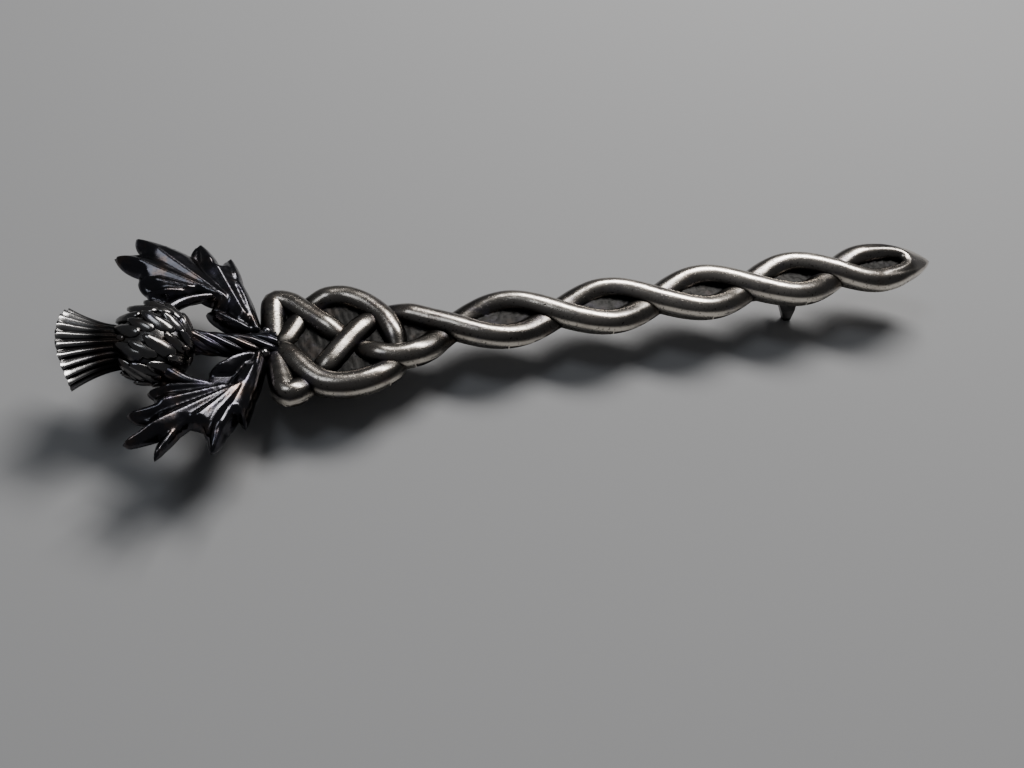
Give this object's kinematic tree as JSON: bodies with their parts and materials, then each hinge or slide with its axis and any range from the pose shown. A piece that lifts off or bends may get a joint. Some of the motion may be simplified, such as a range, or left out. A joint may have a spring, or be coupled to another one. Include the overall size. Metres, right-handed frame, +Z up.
{
  "type": "kilt pin",
  "caption": "Kilt pin: a thistle head with two lobed leaves, an interlaced knot and a pointed blade of two twisted strands, with a wire pin behind held in a hinge block and a hooked catch.",
  "frame": {"origin": "middle of the length and width, on the surface that the pin lies on", "axes": "+X along the length from the thistle head to the blade's point, +Y across it, +Z up, out of the ornamental face"},
  "size_m": [0.0796, 0.024, 0.0083],
  "materials": {
    "aged_silver": "oxidised silver, satin on the high parts and nearly black in the recesses",
    "wire_silver": "drawn wire, dull with age"
  },
  "bodies": {
    "root": {"casting": "aged_silver", "pin_stem": "wire_silver"}
  },
  "joints": []
}
